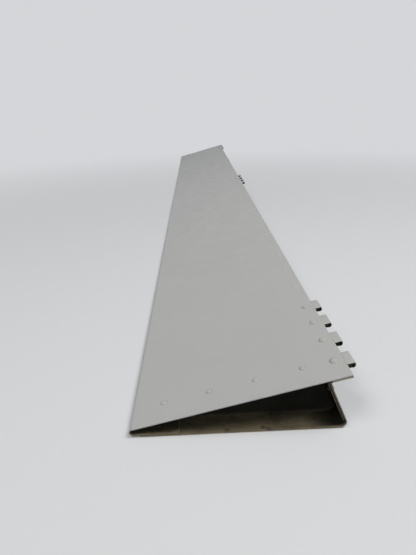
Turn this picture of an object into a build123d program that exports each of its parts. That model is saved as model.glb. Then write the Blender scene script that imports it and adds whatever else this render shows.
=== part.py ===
from build123d import *
from math import atan2, cos, degrees, pi, radians, sin, tan
import os

# Riveted sheet-metal trim tab with three hinge segments along its leading edge.
# Shop coordinates: X forward from the trailing edge, Y along the span from the near end,
# Z up from the underside of the lower skin. At the end everything is moved so that the
# origin is on the hinge axis at mid-span. All sizes are in millimetres and degrees.

# Overall form
span = 1343.0
chord = 138.5
wedge_angle = 14.1
nose_radius = 2.55

# Skins
skin_thickness = 0.8
skin_bend_inside = 3.2
lap_start = 6.8
lap_end = 32.0
front_foot_ahead = 1.75
front_lean = 23.0
front_flange_gap = 2.3

# Spar
spar_thickness = 1.3
spar_bend_inside = 1.6
spar_foot_gap = 0.6

# Hinge segments
hinge_pitch = 25.4
knuckle_length = 13.4
knuckle_radius = 1.85
knuckle_reach = 5.3
knuckle_edge_radius = 0.8
pin_bore_radius = 0.85
knuckle_count = 4
hinge_end_inset = 11.1
leaf_thickness = 1.3
leaf_width = 11.0
knuckle_clearance = 0.1

# End ribs
rib_thickness = 0.8
rib_inset = 12.7
rib_flange_width = 12.7
rib_bend_inside = 1.6
rib_aft_end = 16.0
rib_lap_gap = 1.5
rib_top_relief = 5.0
rib_foot_relief = 6.5

# Rivets: shank, head and tail of the small and the large kind, drawn with flats
small_shank_radius = 1.2
small_head_radius = 2.4
small_head_height = 1.0
large_shank_radius = 1.6
large_head_radius = 3.2
large_head_height = 1.4
tail_radius = 2.4
tail_height = 1.3
rivet_clearance = 0.05
head_flat_share = 0.55
head_rim_share = 0.4
head_sides = 8
shown_shank_sides = 6
hidden_shank_sides = 4

# Rivet rows
edge_row_aft = 6.3
edge_row_pitch = 40.6
rib_row_inset = 5.8
rib_top_row_first = 22.0
rib_top_row_end = 27.0
rib_top_row_pitch = 31.2
rib_foot_row_first = 43.0
rib_foot_row_end = 21.25
rib_foot_row_pitch = 38.0
rib_front_row_first = 13.0
rib_front_row_end = 11.8
rib_front_row_pitch = 10.0
seam_row_end = 5.8
seam_end_inset = 6.35
seam_row_pitch = 88.9
lap_row_middle = 19.4

# Worked out from the sizes above
wedge = radians(wedge_angle)
lean = radians(front_lean)
apex_x = nose_radius - nose_radius / tan(wedge / 2)
leading_height = skin_thickness + (chord - apex_x) * tan(wedge)
foot_x = chord + front_foot_ahead
skin_bend_outside = skin_bend_inside + skin_thickness
spar_bend_outside = spar_bend_inside + spar_thickness
rib_bend_outside = rib_bend_inside + rib_thickness
web_depth = skin_thickness + spar_thickness
leaf_depth = web_depth + leaf_thickness
front_turn = radians(90 + front_lean)
spar_foot = skin_bend_outside * tan(front_turn / 2) + spar_foot_gap
axis_ahead = knuckle_reach - knuckle_radius
segment_length = (knuckle_count - 1) * hinge_pitch + knuckle_length
near_segment_start = hinge_end_inset
middle_segment_start = (span - segment_length) / 2
far_segment_start = span - hinge_end_inset - segment_length

# Faces that carry rivets: local x runs along the span and z points outwards.
# On the top face y runs aft from the leading edge, on the front face it runs up from the
# foot, and on the under face it runs forward from the trailing edge.
top_face = Plane(
    origin=(chord, 0, leading_height),
    x_dir=(0, 1, 0),
    z_dir=(-sin(wedge), 0, cos(wedge)),
)
front_face = Plane(
    origin=(foot_x, 0, 0),
    x_dir=(0, 1, 0),
    z_dir=(cos(lean), 0, sin(lean)),
)
under_face = Plane(origin=(0, 0, 0), x_dir=(0, 1, 0), z_dir=(0, 0, -1))


def section_point(face, along, depth):
    """Section coordinates (X, Z) of a point on a face line, sunk by depth."""
    point = face.from_local_coords(Vector(0, along, -depth))
    return point.X, point.Z


def behind_front(depth, height):
    """X of a line behind the front face, at a height above the underside."""
    return foot_x - depth / cos(lean) - height * tan(lean)


def corner(top_depth, front_depth):
    """Where a line under the top face meets a line behind the front face."""
    top_x, top_z = section_point(top_face, 0, top_depth)
    front_x, front_z = section_point(front_face, 0, front_depth)
    gap_x = front_x - top_x
    gap_z = front_z - top_z
    turn = cos(wedge) * cos(lean) + sin(wedge) * sin(lean)
    forward = (gap_x * cos(lean) + gap_z * sin(lean)) / turn
    return top_x + forward * cos(wedge), top_z + forward * sin(wedge)


# The front flange stops a gap below the spar's top flange, measured up the front face
flange_seat = corner(web_depth, 0)
front_flange_height = flange_seat[1] / cos(lean) - front_flange_gap


def extrude_span(profile, start, length):
    """Extrude a section drawn in (X, Z) from start, along the span."""
    section = Plane(origin=(0, start, 0), x_dir=(1, 0, 0), z_dir=(0, -1, 0))
    return extrude(section * profile, amount=length, dir=(0, 1, 0))


def bent_sheet(points, thickness, side, bend_radius, start, length):
    """Sheet folded along a line of section points; bend_radius is that line's own."""
    line = FilletPolyline(*points, radius=bend_radius)
    profile = make_face(offset(line, amount=thickness, side=side).edges())
    return extrude_span(profile, start, length)


def even_row(first, last, pitch):
    """Places from first to last, as near to the pitch as whole steps allow."""
    steps = max(1, round((last - first) / pitch))
    return [first + (last - first) * i / steps for i in range(steps + 1)]


def prism(radius, sides, foot, top):
    """Upright prism between two heights, its corners at the radius."""
    return Pos(0, 0, foot) * extrude(RegularPolygon(radius, sides), amount=top - foot)


def rivet_head(radius, height):
    """Eight-sided rim under a bevelled crown, standing on z 0."""
    rim = height * head_rim_share
    across = cos(pi / head_sides)
    slope = degrees(atan2(radius * (1 - head_flat_share) * across, height - rim))
    crown = extrude(RegularPolygon(radius, head_sides), amount=height - rim, taper=slope)
    return prism(radius, head_sides, 0, rim) + Pos(0, 0, rim) * crown


def large_rivet(grip):
    """Hinge rivet: crowned head above z 0, shank below it and a formed tail."""
    shank = prism(large_shank_radius, shown_shank_sides, -grip, 0)
    tail = prism(tail_radius, shown_shank_sides, -grip - tail_height, -grip)
    return rivet_head(large_head_radius, large_head_height) + shank + tail


def small_rivet(grip):
    """Edge or rib rivet: crowned head, and a shank whose tail stands straight."""
    shank = prism(small_shank_radius, shown_shank_sides, -grip - tail_height, 0)
    return rivet_head(small_head_radius, small_head_height) + shank


def inner_rivet(grip):
    """Rivet of a closed seam: flat head, and a square shank that nobody sees."""
    shank = prism(small_shank_radius, hidden_shank_sides, -grip - tail_height, 0)
    return prism(small_head_radius, head_sides, 0, small_head_height) + shank


def placed(face, places, thing):
    """Copies of a thing set on a face at (span, along) places."""
    return [face * Location((x, y, 0)) * thing for x, y in places]


def drill(face, places, shank, sides, depth):
    """Holes for shanks at places of a face, cut right through to a depth."""
    return placed(face, places, prism(shank + rivet_clearance, sides, -depth, depth))


# Rivet places, as (span, along) on their faces
knuckle_middles = [i * hinge_pitch + knuckle_length / 2 for i in range(knuckle_count)]


def hinge_places(start):
    return [(start + middle, edge_row_aft) for middle in knuckle_middles]


def bay_places(before, after):
    """The row between two hinge segments, ends left to the hinge rivets."""
    first = before + knuckle_middles[-1]
    last = after + knuckle_middles[0]
    return [(y, edge_row_aft) for y in even_row(first, last, edge_row_pitch)[1:-1]]


near_hinge_places = hinge_places(near_segment_start)
middle_hinge_places = hinge_places(middle_segment_start)
far_hinge_places = hinge_places(far_segment_start)
near_bay_places = bay_places(near_segment_start, middle_segment_start)
far_bay_places = bay_places(middle_segment_start, far_segment_start)

near_rib_row = rib_inset + rib_row_inset
far_rib_row = span - near_rib_row
skin_run = chord / cos(wedge)
rib_top_line = even_row(rib_top_row_end, skin_run - rib_top_row_first, rib_top_row_pitch)
rib_foot_line = even_row(rib_foot_row_first, foot_x - rib_foot_row_end, rib_foot_row_pitch)
rib_front_line = even_row(
    rib_front_row_first, front_flange_height - rib_front_row_end, rib_front_row_pitch
)
seam_row_height = front_flange_height - seam_row_end


def rib_places(row):
    """Top, foot and front rivet places of the rib whose row is at this span."""
    top = [(row, aft) for aft in rib_top_line]
    foot = [(row, forward) for forward in rib_foot_line]
    front = [(row, height) for height in rib_front_line]
    return top, foot, front


near_top, near_foot, near_front = rib_places(near_rib_row)
far_top, far_foot, far_front = rib_places(far_rib_row)
seam_line = even_row(seam_end_inset, span - seam_end_inset, seam_row_pitch)
seam_places = [(y, seam_row_height) for y in seam_line]
lap_places = [(y, lap_row_middle) for y in seam_line]

hinge_places_all = near_hinge_places + middle_hinge_places + far_hinge_places
bay_places_all = near_bay_places + far_bay_places
drill_depth = leaf_depth + tail_height
hinge_drill = drill(
    top_face, hinge_places_all, large_shank_radius, shown_shank_sides, drill_depth
)
bay_drill = drill(top_face, bay_places_all, small_shank_radius, shown_shank_sides, drill_depth)
rib_top_drill = drill(
    top_face, near_top + far_top, small_shank_radius, shown_shank_sides, drill_depth
)
rib_foot_drill = drill(
    under_face, near_foot + far_foot, small_shank_radius, hidden_shank_sides, drill_depth
)
rib_front_drill = drill(
    front_face, near_front + far_front, small_shank_radius, hidden_shank_sides, drill_depth
)
seam_drill = drill(
    front_face, seam_places, small_shank_radius, hidden_shank_sides, drill_depth
)
lap_drill = drill(
    under_face, lap_places, small_shank_radius, hidden_shank_sides, 3 * skin_thickness
)


def make_upper_skin():
    """Top sheet, wrapped round the trailing edge and returned inside the lap."""
    sheet = bent_sheet(
        [(chord, leading_height), (apex_x, skin_thickness), (lap_end, skin_thickness)],
        skin_thickness, Side.LEFT, nose_radius, 0, span,
    )
    return sheet - hinge_drill - bay_drill - rib_top_drill - lap_drill


def make_lower_skin():
    """Bottom sheet with its front edge folded up and leaning aft."""
    sheet = bent_sheet(
        [(lap_start, 0), (foot_x, 0), section_point(front_face, front_flange_height, 0)],
        skin_thickness, Side.LEFT, skin_bend_outside, 0, span,
    )
    return sheet - lap_drill - rib_foot_drill - rib_front_drill - seam_drill


def make_spar():
    """Leaning web behind the front flange, its top turned forward under the skin."""
    sheet = bent_sheet(
        [
            section_point(top_face, 0, skin_thickness),
            corner(skin_thickness, web_depth),
            section_point(front_face, spar_foot, web_depth),
        ],
        spar_thickness, Side.LEFT, spar_bend_outside, 0, span,
    )
    return sheet - hinge_drill - bay_drill - rib_front_drill - seam_drill


def rib_block(inset, start, bend):
    """Solid that fills the rib's outline, drawn in by inset, its web edge rounded."""
    top_depth = skin_thickness + inset
    front_depth = web_depth + inset
    floor = skin_thickness + inset
    top_x, top_z = section_point(top_face, 0, top_depth)
    aft_top = top_z - (top_x - rib_aft_end) * tan(wedge)
    foot_front = behind_front(front_depth, floor)
    outline = Polyline(
        (rib_aft_end, floor),
        (foot_front, floor),
        corner(top_depth, front_depth),
        (rib_aft_end, aft_top),
        close=True,
    )
    block = extrude_span(make_face(outline), start, rib_inset + rib_flange_width - start)
    web_edges = block.faces().sort_by(Axis.Y)[0].edges().sort_by(Axis.X)[1:]
    return fillet(web_edges, bend)


def make_near_rib():
    """Pressed rib: web towards the near end, three flanges turned inwards."""
    rib = rib_block(0, rib_inset, rib_bend_outside)
    rib -= rib_block(rib_thickness, rib_inset + rib_thickness, rib_bend_inside)
    reach = rib_inset + rib_flange_width
    top_relief = Pos(*corner(skin_thickness, web_depth)) * Circle(rib_top_relief)
    foot_corner = (behind_front(web_depth, skin_thickness), skin_thickness)
    foot_relief = Pos(*foot_corner) * Circle(rib_foot_relief)
    lap_room = lap_end + rib_lap_gap - rib_aft_end
    lap_relief_top = skin_thickness + rib_bend_outside
    lap_relief = Pos(rib_aft_end, 0) * Rectangle(
        lap_room, lap_relief_top, align=(Align.MIN, Align.MIN)
    )
    for relief in (top_relief, foot_relief, lap_relief):
        rib -= extrude_span(relief, 0, 2 * reach)
    return rib - rib_top_drill - rib_foot_drill - rib_front_drill


def make_far_rib():
    """The near rib's opposite hand, at the far end."""
    return mirror(make_near_rib(), about=Plane.XZ.offset(-span / 2))


def make_knuckle():
    """One knuckle from span 0: its top lies level with the skin, its underside is round."""
    neck = Pos(0, 0, -web_depth) * Box(
        knuckle_length, axis_ahead, leaf_thickness,
        align=(Align.MIN, Align.MAX, Align.MAX),
    )
    body = Pos(0, -knuckle_clearance, 0) * Box(
        knuckle_length, axis_ahead - knuckle_clearance, leaf_depth,
        align=(Align.MIN, Align.MAX, Align.MAX),
    )
    nose = Pos(0, -axis_ahead, 0) * Box(
        knuckle_length, knuckle_radius, knuckle_radius,
        align=(Align.MIN, Align.MAX, Align.MAX),
    )
    long_edges = nose.edges().filter_by(Axis.X)
    upper_front = long_edges.sort_by(lambda edge: edge.center().Y - edge.center().Z)[0]
    nose = fillet(upper_front, knuckle_edge_radius)
    barrel = Pos(0, -axis_ahead, -knuckle_radius) * Cylinder(
        knuckle_radius, knuckle_length, rotation=(0, 90, 0),
        align=(Align.CENTER, Align.CENTER, Align.MIN),
    )
    return neck + body + nose + barrel


def make_leaf(start):
    """Extruded hinge leaf under the spar flange, with its row of open knuckles."""
    plate = Box(
        segment_length, leaf_width, leaf_thickness,
        align=(Align.MIN, Align.MIN, Align.MAX),
    )
    leaf = top_face * Location((start, 0, -web_depth)) * plate
    knuckle = make_knuckle()
    for i in range(knuckle_count):
        leaf += top_face * Location((start + i * hinge_pitch, 0, 0)) * knuckle
    bore = Cylinder(
        pin_bore_radius, segment_length, rotation=(0, 90, 0),
        align=(Align.CENTER, Align.CENTER, Align.MIN),
    )
    leaf -= top_face * Location((start, -axis_ahead, -knuckle_radius)) * bore
    return leaf - hinge_drill


def group(solids):
    """One node of separate like solids."""
    return Compound(children=[piece.solid() for piece in solids])


hinge_rivet = large_rivet(leaf_depth)
bay_rivet = small_rivet(web_depth)
rib_top_rivet = small_rivet(skin_thickness + rib_thickness)
rib_foot_rivet = inner_rivet(skin_thickness + rib_thickness)
rib_front_rivet = inner_rivet(web_depth + rib_thickness)
seam_rivet = inner_rivet(web_depth)
lap_rivet = inner_rivet(2 * skin_thickness)

pieces = {
    "upper_skin": make_upper_skin(),
    "lower_skin": make_lower_skin(),
    "spar": make_spar(),
    "near_end_rib": make_near_rib(),
    "far_end_rib": make_far_rib(),
    "near_hinge_leaf": make_leaf(near_segment_start),
    "middle_hinge_leaf": make_leaf(middle_segment_start),
    "far_hinge_leaf": make_leaf(far_segment_start),
    "near_hinge_rivets": group(placed(top_face, near_hinge_places, hinge_rivet)),
    "middle_hinge_rivets": group(placed(top_face, middle_hinge_places, hinge_rivet)),
    "far_hinge_rivets": group(placed(top_face, far_hinge_places, hinge_rivet)),
    "front_edge_rivets_near_bay": group(placed(top_face, near_bay_places, bay_rivet)),
    "front_edge_rivets_far_bay": group(placed(top_face, far_bay_places, bay_rivet)),
    "near_rib_top_rivets": group(placed(top_face, near_top, rib_top_rivet)),
    "far_rib_top_rivets": group(placed(top_face, far_top, rib_top_rivet)),
    "near_rib_bottom_rivets": group(placed(under_face, near_foot, rib_foot_rivet)),
    "far_rib_bottom_rivets": group(placed(under_face, far_foot, rib_foot_rivet)),
    "near_rib_front_rivets": group(placed(front_face, near_front, rib_front_rivet)),
    "far_rib_front_rivets": group(placed(front_face, far_front, rib_front_rivet)),
    "front_seam_rivets": group(placed(front_face, seam_places, seam_rivet)),
    "trailing_lap_rivets": group(placed(under_face, lap_places, lap_rivet)),
}

# The origin goes to the hinge axis at mid-span
axis_point = top_face.from_local_coords(Vector(span / 2, -axis_ahead, -knuckle_radius))
to_frame = Location(-axis_point)
os.makedirs("parts", exist_ok=True)
for name, piece in pieces.items():
    export_step(piece.moved(to_frame), f"parts/{name}.step")
print("hinge axis in shop coordinates", axis_point)
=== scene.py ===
# %% [markdown]
# # A riveted trim tab, dressed in Blender
# A trim tab is a small wedge of folded aluminium sheet that hangs from a wing's control surface
# on a row of hinge knuckles. The CAD model has already settled every size and place, so this
# lesson only makes what the eye needs: crisp folded sheets, domed rivets, flat-topped hinge
# knuckles, and the paint, primer, soot and grime on them. Everything is in metres, in the CAD
# model's own frame: Y runs along the span and the hinge, X points forward, Z points up.

# %% The frame
import math

import bpy
import numpy as np
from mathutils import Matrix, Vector


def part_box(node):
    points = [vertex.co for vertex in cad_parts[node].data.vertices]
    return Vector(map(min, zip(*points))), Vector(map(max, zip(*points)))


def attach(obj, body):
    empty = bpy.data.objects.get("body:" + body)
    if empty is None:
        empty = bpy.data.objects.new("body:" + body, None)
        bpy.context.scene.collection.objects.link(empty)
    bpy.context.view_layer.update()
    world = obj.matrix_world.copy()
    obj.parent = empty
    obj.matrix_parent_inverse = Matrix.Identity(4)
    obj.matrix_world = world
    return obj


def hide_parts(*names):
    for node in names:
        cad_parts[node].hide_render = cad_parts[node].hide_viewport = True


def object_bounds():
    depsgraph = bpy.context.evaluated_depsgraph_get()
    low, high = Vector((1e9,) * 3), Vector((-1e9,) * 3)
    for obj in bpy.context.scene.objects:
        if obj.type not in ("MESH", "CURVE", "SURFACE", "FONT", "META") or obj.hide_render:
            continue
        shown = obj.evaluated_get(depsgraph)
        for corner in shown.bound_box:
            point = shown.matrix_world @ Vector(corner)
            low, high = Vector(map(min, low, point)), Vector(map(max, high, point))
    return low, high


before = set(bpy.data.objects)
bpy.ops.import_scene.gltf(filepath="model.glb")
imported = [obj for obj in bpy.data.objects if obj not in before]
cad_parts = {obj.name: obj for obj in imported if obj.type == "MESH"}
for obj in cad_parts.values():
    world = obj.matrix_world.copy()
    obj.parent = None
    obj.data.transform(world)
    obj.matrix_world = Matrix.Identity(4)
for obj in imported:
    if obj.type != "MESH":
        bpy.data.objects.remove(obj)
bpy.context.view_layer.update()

# %% [markdown]
# ## Sizes
# The few driving sizes below are the tab's own: thicknesses, bend radii and the two slopes of
# its section. They are the CAD model's values, repeated here because the lesson reads nothing
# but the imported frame. Whatever can be read from the frame, such as the span, is read.

# %% Driving sizes of the section
MM = 0.001
skin_low, skin_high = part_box("upper_skin")
SPAN_LOW = skin_low.y
SPAN_HIGH = skin_high.y
SHEET = 0.8 * MM
SPAR_SHEET = 1.3 * MM
RIB_SHEET = 0.8 * MM
LEAF = 1.3 * MM
WEDGE = math.radians(14.1)
LEAN = math.radians(23.0)
NOSE_RADIUS = 2.55 * MM
FLOOR_BEND = 4.0 * MM
SPAR_BEND = 2.9 * MM
CHORD = 138.5 * MM
FOOT_AHEAD = 1.75 * MM
LAP_START = 6.8 * MM
LAP_END = 32.0 * MM
FLANGE_GAP = 2.3 * MM
print("span", round(SPAN_HIGH - SPAN_LOW, 4), "chord", CHORD)

# %% [markdown]
# ## Where the section sits
# A designer draws the tab's section from its trailing edge: X runs forward from there and Z up
# from the underside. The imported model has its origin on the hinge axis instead, so one shift
# brings a drawn point home. Rivet rows lie on the top face or on the leaning front face, and a
# small table of origin, direction and outward normal describes each face.

# %% From the drawn section to the frame
SHIFT_X = skin_low.x
SHIFT_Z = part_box("lower_skin")[0].z
APEX = NOSE_RADIUS - NOSE_RADIUS / math.tan(WEDGE / 2)
LEADING_HEIGHT = SHEET + (CHORD - APEX) * math.tan(WEDGE)
FOOT = CHORD + FOOT_AHEAD
WEB_DEPTH = SHEET + SPAR_SHEET


def face_table(x, z, run, out):
    """A face as arrays in the frame: its origin, its direction in the section and its normal."""
    return {
        "origin": np.array([x + SHIFT_X, SPAN_LOW, z + SHIFT_Z]),
        "run": np.array([run[0], 0.0, run[1]]),
        "out": np.array([out[0], 0.0, out[1]]),
    }


TOP_FACE = face_table(
    CHORD, LEADING_HEIGHT,
    (-math.cos(WEDGE), -math.sin(WEDGE)), (-math.sin(WEDGE), math.cos(WEDGE)),
)
FRONT_FACE = face_table(
    FOOT, 0.0, (-math.sin(LEAN), math.cos(LEAN)), (math.cos(LEAN), math.sin(LEAN))
)
UNDER_FACE = face_table(0.0, 0.0, (1.0, 0.0), (0.0, -1.0))


def on_face(face, along, depth):
    """Section point (x, z) in the frame: so far along a face and so far beneath it."""
    point = face["origin"] + along * face["run"] - depth * face["out"]
    return point[[0, 2]]


def meeting(top_depth, front_depth):
    """Where a line under the top face crosses a line behind the front face.

    Both lines are written as point + distance * direction, and the two distances that make the
    points equal come from one 2 by 2 linear system.
    """
    top = on_face(TOP_FACE, 0.0, top_depth)
    front = on_face(FRONT_FACE, 0.0, front_depth)
    top_run = TOP_FACE["run"][[0, 2]]
    front_run = FRONT_FACE["run"][[0, 2]]
    forward, _ = np.linalg.solve(np.column_stack([top_run, -front_run]), front - top)
    return top + forward * top_run


def drawn(x, z):
    """A point drawn from the trailing edge, in the frame."""
    return np.array([x + SHIFT_X, z + SHIFT_Z])


flange_seat = meeting(WEB_DEPTH, 0.0)
FLANGE_TOP = (flange_seat[1] - SHIFT_Z) / math.cos(LEAN) - FLANGE_GAP
print("front flange height along its face, mm:", round(FLANGE_TOP / MM, 2))

# %% [markdown]
# ## Meshes from whole arrays
# Blender can model a folded sheet by extruding edges by hand, or with a Solidify modifier over a
# bent plane. Here every vertex comes from a formula instead, so bends keep their true radius and
# the edges get a fine chamfer that catches light. One helper turns arrays of vertices and quads
# into a mesh object, and measures the enclosed volume to be sure that it is right side out.

# %% Array to mesh
def grid_quads(rows, columns, wrap_rows=False, wrap_columns=False):
    """Quads of a grid whose vertices are numbered row by row."""
    r = np.arange(rows if wrap_rows else rows - 1)
    c = np.arange(columns if wrap_columns else columns - 1)
    r0, c0 = (a.ravel() for a in np.meshgrid(r, c, indexing="ij"))
    r1 = (r0 + 1) % rows
    c1 = (c0 + 1) % columns
    return np.column_stack(
        [r0 * columns + c0, r1 * columns + c0, r1 * columns + c1, r0 * columns + c1]
    )


def signed_volume(vertices, quads):
    """Sum of the tetrahedra from the origin to each half quad: positive if faces look out."""
    a, b, c, d = (vertices[quads[:, i]] for i in range(4))
    halves = np.cross(b, c) + np.cross(c, d)
    return np.einsum("ij,ij->", a, halves) / 6


def mesh_piece(name, vertices, quads, materials, face_material=None, sharp=35, closed=True):
    """A mesh object at the origin, from vertices in the frame.

    It is smooth but for edges over the sharp angle, in degrees; a closed one faces outwards.
    """
    if closed and signed_volume(vertices, quads) < 0:
        quads = quads[:, ::-1]
    mesh = bpy.data.meshes.new(name)
    mesh.vertices.add(len(vertices))
    mesh.vertices.foreach_set("co", vertices.astype(np.float32).ravel())
    mesh.loops.add(quads.size)
    mesh.loops.foreach_set("vertex_index", quads.astype(np.int32).ravel())
    mesh.polygons.add(len(quads))
    mesh.polygons.foreach_set("loop_start", np.arange(0, quads.size, 4, dtype=np.int32))
    if face_material is not None:
        mesh.polygons.foreach_set("material_index", face_material.astype(np.int32))
    mesh.update(calc_edges=True)
    mesh.validate()
    mesh.shade_smooth()
    mesh.set_sharp_from_angle(angle=math.radians(sharp))
    piece = bpy.data.objects.new(name, mesh)
    bpy.context.scene.collection.objects.link(piece)
    for material in materials:
        mesh.materials.append(material)
    print(name, len(vertices), "vertices,", len(quads), "quads")
    return piece


def carry(piece, node):
    """The piece rides on the tab and stands in for a CAD node, which it hides."""
    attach(piece, "root")
    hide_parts(node)


# %% [markdown]
# ## Shader effects that several finishes share
# Four things decide how this tab looks: satin paint that is not quite even, grime that gathers
# along edges, stained primer under soot and painted shade inside, and dulled bare metal on the
# rivet tails, some of them near black with soot and painted shade. The first two turn up on many
# pieces, so each is a node group with named sockets. The noise reads Object coordinates, which
# are metres here because every piece sits at the origin.

# %% Helpers for node trees
def put(tree, socket, value):
    """Link a socket to the value where that is a socket too, or else set the socket's own."""
    if isinstance(value, bpy.types.NodeSocket):
        tree.links.new(value, socket)
    else:
        socket.default_value = value


def feed(tree, node, **values):
    """A node's inputs by name, with _ for a space: each takes a socket or a value."""
    for label, value in values.items():
        put(tree, node.inputs[label.replace("_", " ")], value)


def add_node(tree, kind, **settings):
    """A shader node with its plain properties set and its named inputs fed."""
    node = tree.nodes.new(kind)
    for key, value in settings.items():
        if key in node.inputs:
            put(tree, node.inputs[key], value)
        else:
            setattr(node, key, value)
    return node


def group_with(name, inputs, outputs):
    """An empty node group with the given float or colour sockets, and its two end nodes."""
    group = bpy.data.node_groups.new(name, "ShaderNodeTree")
    for label, kind, value in inputs:
        socket = group.interface.new_socket(label, in_out="INPUT", socket_type=kind)
        socket.default_value = value
    for label, kind in outputs:
        group.interface.new_socket(label, in_out="OUTPUT", socket_type=kind)
    return group, group.nodes.new("NodeGroupInput"), group.nodes.new("NodeGroupOutput")


def object_place(tree):
    """Object coordinates, as a socket."""
    return add_node(tree, "ShaderNodeTexCoord").outputs["Object"]


def noise(tree, scale, detail=3.0, roughness=0.5, stretch=(1.0, 1.0, 1.0)):
    """Noise in Object coordinates; scale is in waves to the metre, stretch squeezes an axis."""
    mapping = add_node(tree, "ShaderNodeMapping", Vector=object_place(tree), Scale=stretch)
    texture = add_node(tree, "ShaderNodeTexNoise", Vector=mapping.outputs["Vector"],
                       Scale=scale, Detail=detail, Roughness=roughness)
    return texture.outputs["Fac"]


def attribute(tree, name):
    """A mesh attribute's value, as a socket."""
    return add_node(tree, "ShaderNodeAttribute", attribute_name=name).outputs["Fac"]


# %% Helpers for values and colours
def remap(tree, value, low, high, to_low=0.0, to_high=1.0):
    """A value mapped from one range to another, smoothly and clamped."""
    node = add_node(tree, "ShaderNodeMapRange", interpolation_type="SMOOTHSTEP")
    feed(tree, node, Value=value, From_Min=low, From_Max=high, To_Min=to_low, To_Max=to_high)
    return node.outputs["Result"]


def combine(tree, operation, a, b):
    """One Math node on two values, each a socket or a number."""
    node = add_node(tree, "ShaderNodeMath", operation=operation)
    put(tree, node.inputs[0], a)
    put(tree, node.inputs[1], b)
    return node.outputs["Value"]


def mix_colour(tree, factor, a, b, blend="MIX"):
    """One colour Mix node; a and b are sockets or RGBA values."""
    node = add_node(tree, "ShaderNodeMix", data_type="RGBA", blend_type=blend)
    for label, value in (("Factor", factor), ("A", a), ("B", b)):
        put(tree, next(s for s in node.inputs if s.name == label and s.enabled), value)
    return next(s for s in node.outputs if s.enabled)


# %% [markdown]
# ### Grime
# Real grime is a thin brown film: it is patchy, finer than the paint's own unevenness, and
# thickest near an edge, where hands and oil reach. Three noises make it: broad patches, fine
# specks, and a smear that is drawn out along the span and shows only near an edge. For that each
# sheet carries an attribute, `near_edge`, which is 1 on a cut edge and falls to 0 a little way
# in. Scales are in waves to the metre.

# %% The grime group
PATCH_SCALE = 38.0
SPECK_SCALE = 420.0
SMEAR_SCALE = 110.0
ALONG_SPAN = (1.0, 0.22, 1.0)
grime, grime_in, grime_out = group_with(
    "grime film",
    [
        ("Clean", "NodeSocketColor", (0.7, 0.7, 0.7, 1.0)),
        ("Dirt", "NodeSocketColor", (0.1, 0.08, 0.05, 1.0)),
        ("Everywhere", "NodeSocketFloat", 0.1),
        ("At edges", "NodeSocketFloat", 0.5),
    ],
    [("Color", "NodeSocketColor"), ("Film", "NodeSocketFloat")],
)
edge_share = attribute(grime, "near_edge")
patches = remap(grime, noise(grime, PATCH_SCALE, 5.0, 0.62), 0.42, 0.72)
specks = remap(grime, noise(grime, SPECK_SCALE, 3.0, 0.6), 0.56, 0.74)
smear = remap(grime, noise(grime, SMEAR_SCALE, 4.0, 0.65, ALONG_SPAN), 0.4, 0.7)
spread = combine(grime, "MAXIMUM", patches, specks)
broad = combine(grime, "MULTIPLY", spread, grime_in.outputs["Everywhere"])
smeared = combine(grime, "MULTIPLY", smear, edge_share)
border = combine(grime, "MULTIPLY", smeared, grime_in.outputs["At edges"])
film = combine(grime, "MINIMUM", combine(grime, "ADD", broad, border), 1.0)
soiled = mix_colour(grime, film, grime_in.outputs["Clean"], grime_in.outputs["Dirt"])
feed(grime, grime_out, Color=soiled, Film=film)
print("group:", grime.name)

# %% [markdown]
# ### Sprayed paint
# Sprayed enamel never dries dead flat. It keeps a faint orange peel of about a millimetre, its
# tone drifts a little over a hand's width, and its gloss varies between those. The group puts out
# a height for a Bump node, a colour with a small shift of brightness, and a roughness.

# %% The sprayed paint group
CLOUD_SCALE = 9.0
PEEL_SCALE = 900.0
GLOSS_SCALE = 60.0
DRIFT_TINT = (0.86, 0.87, 0.88, 1.0)
spray, spray_in, spray_out = group_with(
    "sprayed paint",
    [("Color", "NodeSocketColor", (0.7, 0.7, 0.7, 1.0)), ("Drift", "NodeSocketFloat", 0.05)],
    [("Color", "NodeSocketColor"), ("Height", "NodeSocketFloat"),
     ("Roughness", "NodeSocketFloat")],
)
cloud = noise(spray, CLOUD_SCALE)
darker = mix_colour(spray, 1.0, spray_in.outputs["Color"], DRIFT_TINT, "MULTIPLY")
shift = combine(spray, "MULTIPLY", remap(spray, cloud, 0.3, 0.7), spray_in.outputs["Drift"])
drifted = mix_colour(spray, shift, spray_in.outputs["Color"], darker)
peel = noise(spray, PEEL_SCALE, 2.0)
satin = remap(spray, noise(spray, GLOSS_SCALE, 4.0), 0.3, 0.7, 0.36, 0.5)
feed(spray, spray_out, Color=drifted, Height=peel, Roughness=satin)
print("group:", spray.name)


# %% [markdown]
# ## Finishes
# Each finish is a material whose Principled shader sits in the material itself and is fed by the
# groups. The white is a satin enamel, sprayed after riveting, so it runs over rivet heads and
# sheet edges alike. It is well off pure white: returning half the light, it renders at the level
# that the photograph shows. Round the rivet heads it is soiled, least along the leading edge.

# %% Helpers for materials
def material_with(name):
    """A new node material and its parts: the tree and its Principled shader."""
    material = bpy.data.materials.new(name)
    material.use_nodes = True
    tree = material.node_tree
    return material, tree, tree.nodes["Principled BSDF"]


def place_group(tree, group, **values):
    """A group node in a material, with its inputs fed by name."""
    node = add_node(tree, "ShaderNodeGroup", node_tree=group)
    feed(tree, node, **values)
    return node


def bump(tree, shader, height, distance, strength):
    """A Bump node between a height and the shader's normal; the distance is in metres."""
    node = add_node(tree, "ShaderNodeBump", Height=height, Distance=distance, Strength=strength)
    feed(tree, shader, Normal=node.outputs["Normal"])


# %% Painted finishes
FILM_ROUGHNESS = 0.35
PAINT_GLOSS = 0.45
PEEL_DEPTH = 0.04 * MM
PEEL_STRENGTH = 0.5
BROWN_DIRT = (0.12, 0.095, 0.06, 1.0)


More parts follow.
